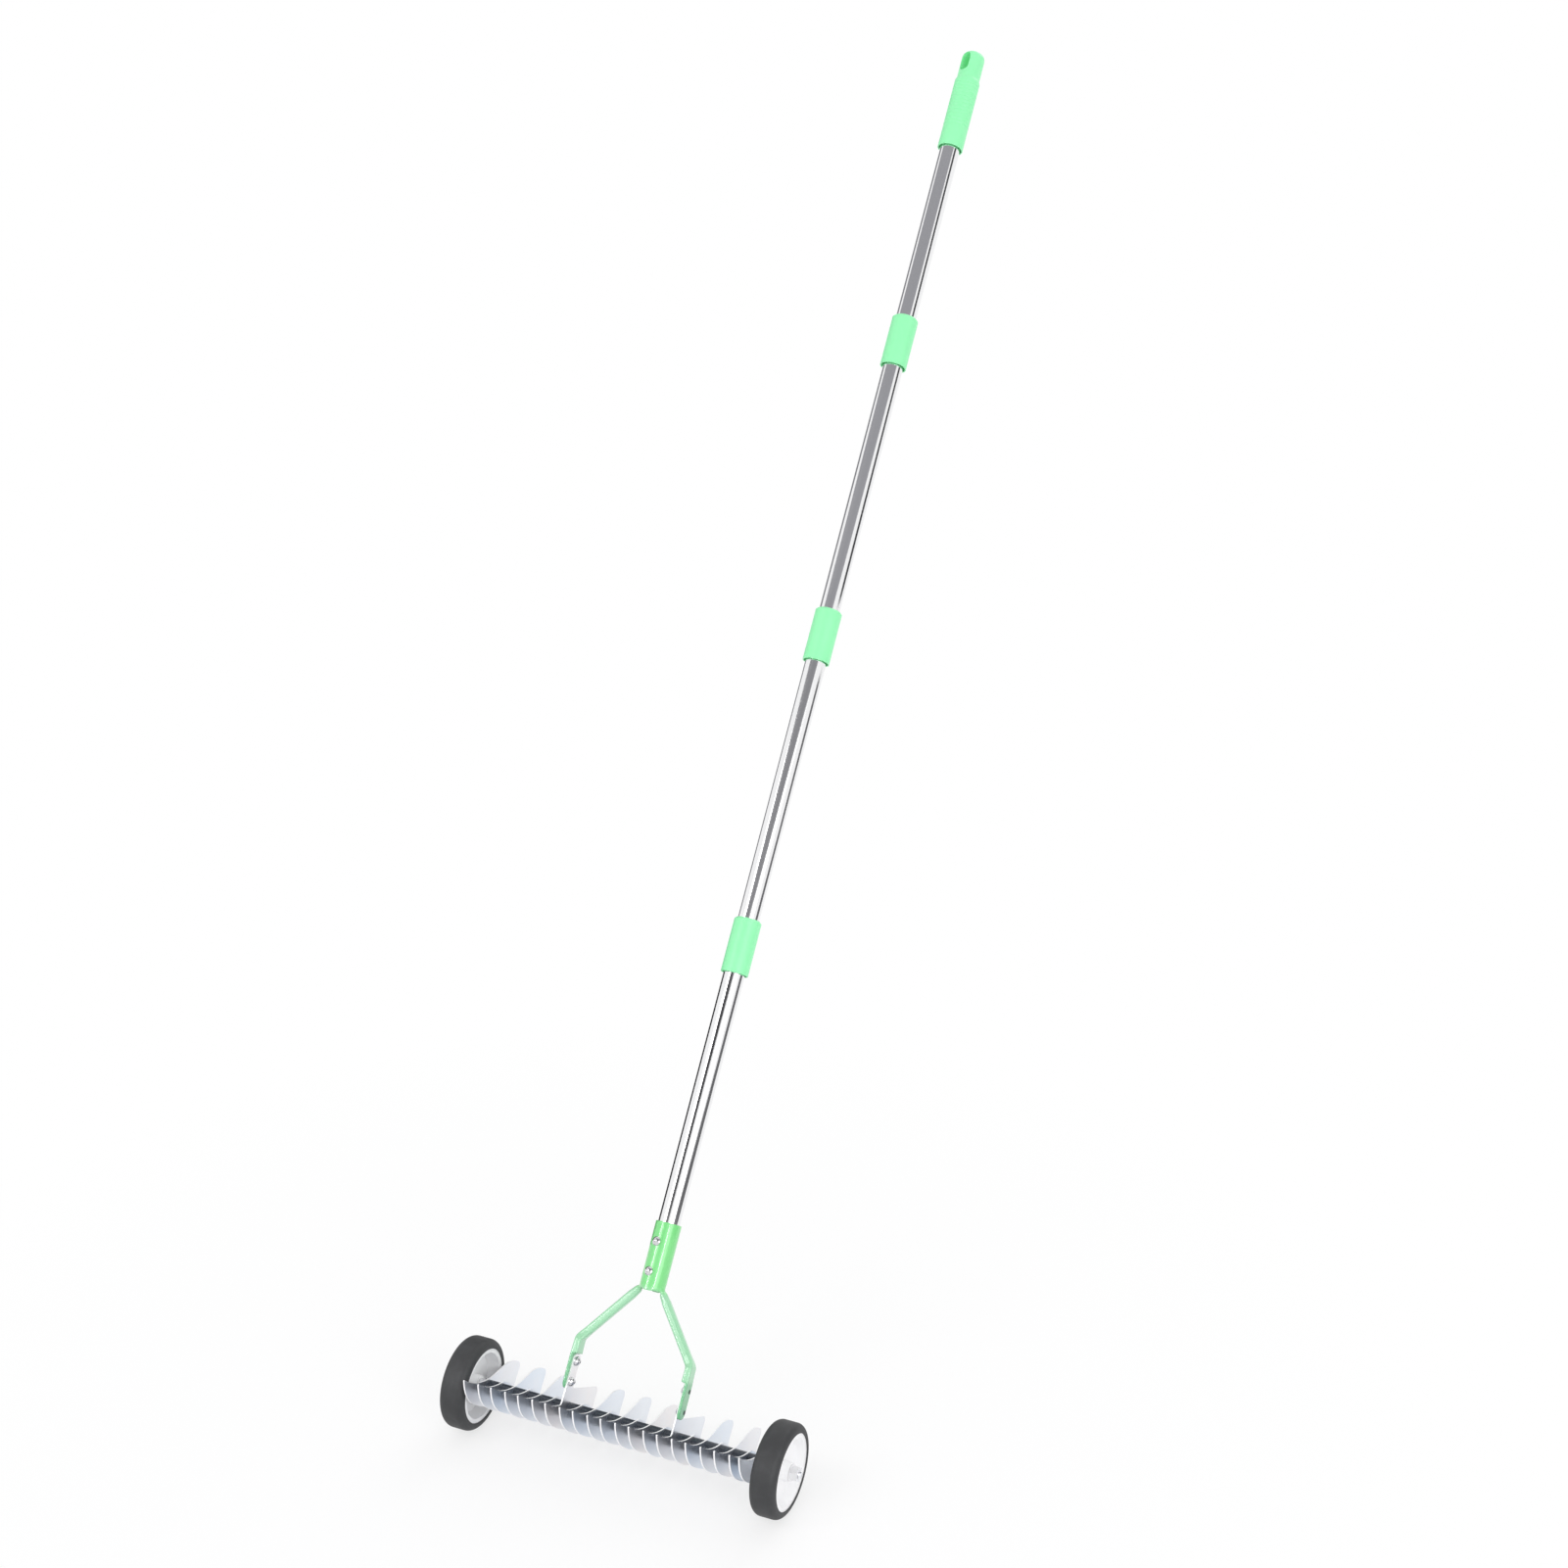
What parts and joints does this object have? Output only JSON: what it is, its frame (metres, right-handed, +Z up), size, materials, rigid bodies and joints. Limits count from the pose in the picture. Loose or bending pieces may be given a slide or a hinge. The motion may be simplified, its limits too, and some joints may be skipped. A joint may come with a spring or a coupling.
{
  "type": "wheeled lawn dethatcher",
  "caption": "Push lawn dethatcher: a comb of hooked steel blades on an axle between small wheels, a forked head and a long sectional handle with a hanging grip.",
  "frame": {"origin": "on the ground under the middle of the axle", "axes": "+X along the axle, +Z up, the handle leans back towards +Y at 38.5 degrees from vertical"},
  "size_m": [0.3784, 0.9743, 1.2327],
  "materials": {
    "mint_plastic": "moulded, semi-gloss",
    "mint_paint": "glossy enamel",
    "stainless_tube": "polished",
    "zinc_steel": "bright zinc plate",
    "spacer_black": "glossy",
    "rim_white": "satin",
    "tyre_rubber": "matt",
    "nylon": "matt"
  },
  "bodies": {
    "frame": {"finned_blade_01": "zinc_steel", "short_blade_02": "zinc_steel", "finned_blade_03": "zinc_steel", "short_blade_04": "zinc_steel", "finned_blade_05": "zinc_steel", "short_blade_06": "zinc_steel", "bracket_blade_left": "zinc_steel", "short_blade_08": "zinc_steel", "finned_blade_09": "zinc_steel", "short_blade_10": "zinc_steel", "finned_blade_11": "zinc_steel", "short_blade_12": "zinc_steel", "finned_blade_13": "zinc_steel", "short_blade_14": "zinc_steel", "bracket_blade_right": "zinc_steel", "short_blade_16": "zinc_steel", "finned_blade_17": "zinc_steel", "short_blade_18": "zinc_steel", "finned_blade_19": "zinc_steel", "short_blade_20": "zinc_steel", "finned_blade_21": "zinc_steel", "axle_rod": "zinc_steel", "end_spacer": "zinc_steel", "clamp_washers": "zinc_steel", "clamp_nuts": "zinc_steel", "wheel_washers": "zinc_steel", "wheel_nuts": "zinc_steel", "leg_screws": "zinc_steel", "sleeve_screws": "zinc_steel", "sleeve_nuts": "zinc_steel", "blade_spacers": "spacer_black", "fork_leg_left": "mint_paint", "fork_leg_right": "mint_paint", "fork_sleeve": "mint_paint", "tube_1": "stainless_tube", "tube_2": "stainless_tube", "tube_3": "stainless_tube", "tube_4": "stainless_tube", "coupler_1": "mint_plastic", "screw_plug_1": "nylon", "thread_socket_1": "nylon", "coupler_2": "mint_plastic", "screw_plug_2": "nylon", "thread_socket_2": "nylon", "coupler_3": "mint_plastic", "screw_plug_3": "nylon", "thread_socket_3": "nylon", "grip": "mint_plastic"},
    "wheel_left": {"wheel_rim_left": "rim_white", "tyre_left": "tyre_rubber"},
    "wheel_right": {"wheel_rim_right": "rim_white", "tyre_right": "tyre_rubber"}
  },
  "joints": [
    {"name": "wheel_left_spin", "type": "hinge", "parent": "frame", "child": "wheel_left", "pos_m": [-0.1666, 0, 0.046], "axis": [1, 0, 0], "continuous": true},
    {"name": "wheel_right_spin", "type": "hinge", "parent": "frame", "child": "wheel_right", "pos_m": [0.1666, 0, 0.046], "axis": [1, 0, 0], "continuous": true}
  ]
}
